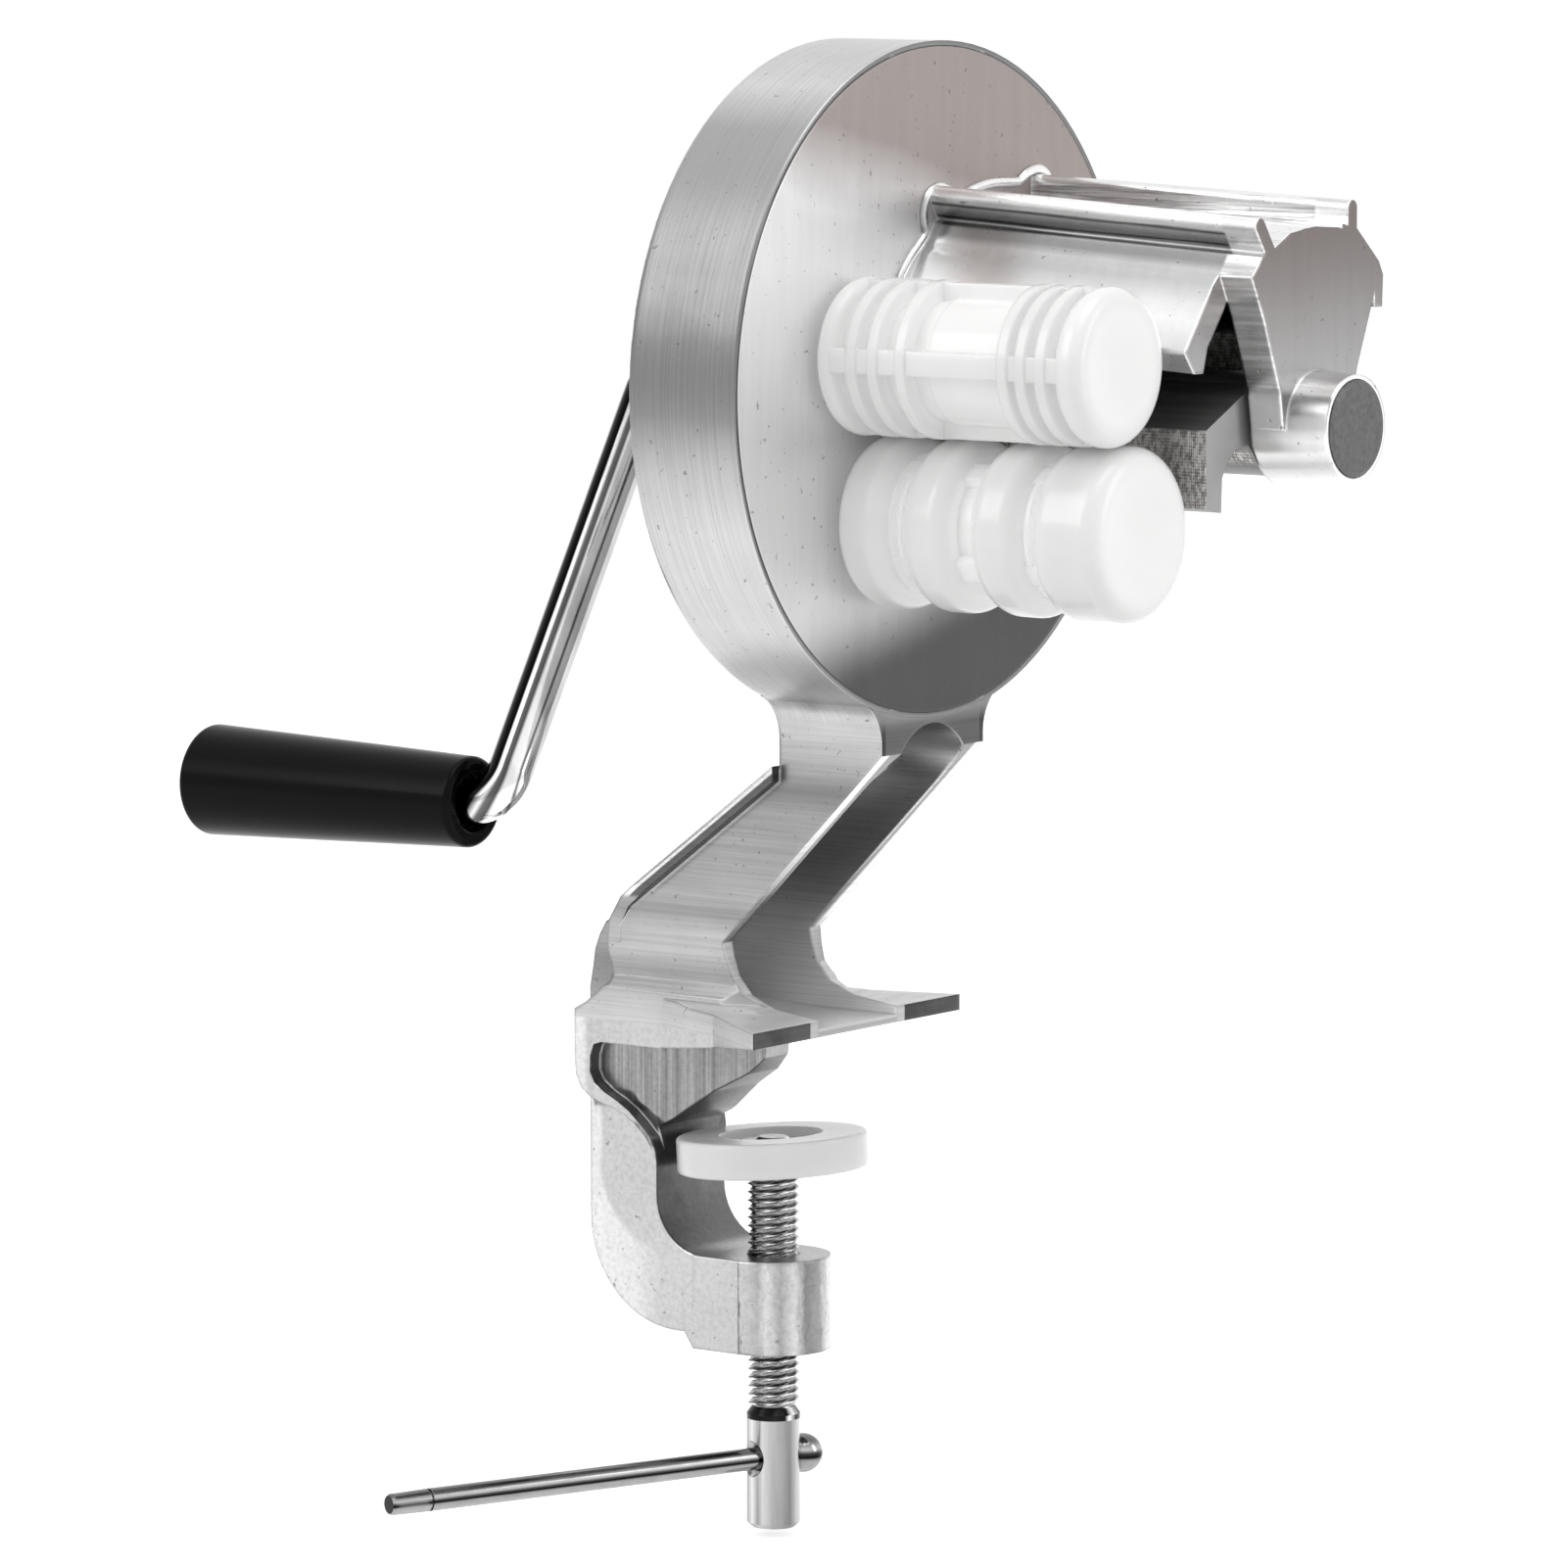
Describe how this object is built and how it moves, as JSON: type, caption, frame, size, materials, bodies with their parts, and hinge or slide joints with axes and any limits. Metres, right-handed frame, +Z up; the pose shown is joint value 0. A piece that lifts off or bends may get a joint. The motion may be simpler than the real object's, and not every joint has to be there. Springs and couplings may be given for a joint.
{
  "type": "cavatelli maker",
  "caption": "Hand cranked pasta roller head with a geared round housing, paired rollers, a bladed cutter under a hood and a screw table clamp.",
  "frame": {"origin": "on the clamp screw axis, in the plane of the undersides of the two feet that rest on the table", "axes": "+Z up along the clamp screw, +X out of the round housing along the rollers towards their free ends, +Y to the cutter side"},
  "size_m": [0.2399, 0.1598, 0.3158],
  "materials": {
    "cast": "machined and lightly brushed",
    "steel": "bright turned",
    "dark_steel": "machined",
    "chrome": "polished",
    "bronze": "sintered bronze",
    "roller": "translucent white moulded",
    "pad": "translucent white moulded",
    "grip": "glossy black moulded",
    "cap": "dark grey face",
    "cutter": "milled"
  },
  "bodies": {
    "frame": {"body_casting": "cast", "cover_casting": "cast", "cover_screws": "dark_steel", "crank_bush": "bronze", "crank_pilot_bush": "bronze", "upper_rear_bush": "bronze", "lower_rear_bush": "bronze", "cutter_rear_bush": "bronze", "upper_front_bush": "bronze", "lower_front_bush": "bronze", "cutter_front_bush": "bronze", "cutter_outer_bush": "bronze", "bearing_cap": "cap"},
    "crank": {"crank_rod": "chrome", "crank_pinion": "dark_steel", "crank_key": "dark_steel", "crank_spacer": "steel", "crank_collar": "chrome", "grip_retainer": "steel"},
    "grip": {"crank_grip": "grip"},
    "upper": {"upper_shaft": "steel", "upper_gear": "dark_steel", "upper_key": "dark_steel", "upper_spacer": "steel", "upper_roller": "roller", "upper_pin": "steel"},
    "lower": {"lower_shaft": "steel", "lower_gear": "dark_steel", "lower_pair_gear": "dark_steel", "lower_key": "dark_steel", "lower_roller": "roller", "lower_pin": "steel"},
    "cutter": {"cutter_shaft": "steel", "cutter_gear": "dark_steel", "cutter_key": "dark_steel", "cutter_spacer": "steel", "cutter_blades": "cutter", "cutter_grub_screw": "dark_steel"},
    "pad_lift": {"pad_washer": "steel"},
    "screw": {"clamp_screw": "chrome"},
    "pad": {"clamp_pad": "pad"},
    "handle": {"tommy_bar": "chrome", "tommy_knob": "chrome"}
  },
  "joints": [
    {"name": "crank_spin", "type": "hinge", "parent": "frame", "child": "crank", "pos_m": [0, 0, 0.1374], "axis": [1, 0, 0], "continuous": true},
    {"name": "grip_spin", "type": "hinge", "parent": "crank", "child": "grip", "pos_m": [-0.07, -0.05428, 0.04916], "axis": [1, 0, 0], "continuous": true},
    {"name": "lower_spin", "type": "hinge", "parent": "frame", "child": "lower", "pos_m": [0.05, -0.02179, 0.11001], "axis": [1, 0, 0], "continuous": true},
    {"name": "upper_spin", "type": "hinge", "parent": "frame", "child": "upper", "pos_m": [0.05, -0.02966, 0.14411], "axis": [1, 0, 0], "continuous": true},
    {"name": "cutter_spin", "type": "hinge", "parent": "frame", "child": "cutter", "pos_m": [0.05, 0.02379, 0.12972], "axis": [1, 0, 0], "continuous": true},
    {"name": "pad_lift_slide", "type": "slide", "parent": "frame", "child": "pad_lift", "axis": [0, 0, 1], "range_m": [-0.01087, 0.00091]},
    {"name": "screw_turn", "type": "hinge", "parent": "pad_lift", "child": "screw", "pos_m": [0, 0, -0.06], "axis": [0, 0, 1], "range_deg": [-2160, 180]},
    {"name": "pad_tilt", "type": "hinge", "parent": "pad_lift", "child": "pad", "pos_m": [0, 0, -0.0262], "axis": [0, 1, 0], "range_deg": [0, 3.4]},
    {"name": "handle_slide", "type": "slide", "parent": "screw", "child": "handle", "axis": [-0.3453, -0.9385, 0], "range_m": [-0.078, 0]}
  ],
  "couplings": [
    {"joint": "lower_spin", "follows": "crank_spin", "ratio": -0.33333},
    {"joint": "upper_spin", "follows": "crank_spin", "ratio": 0.33333},
    {"joint": "cutter_spin", "follows": "crank_spin", "ratio": -0.53846},
    {"joint": "pad_lift_slide", "follows": "screw_turn", "m_per_rad": 0.00028807}
  ]
}
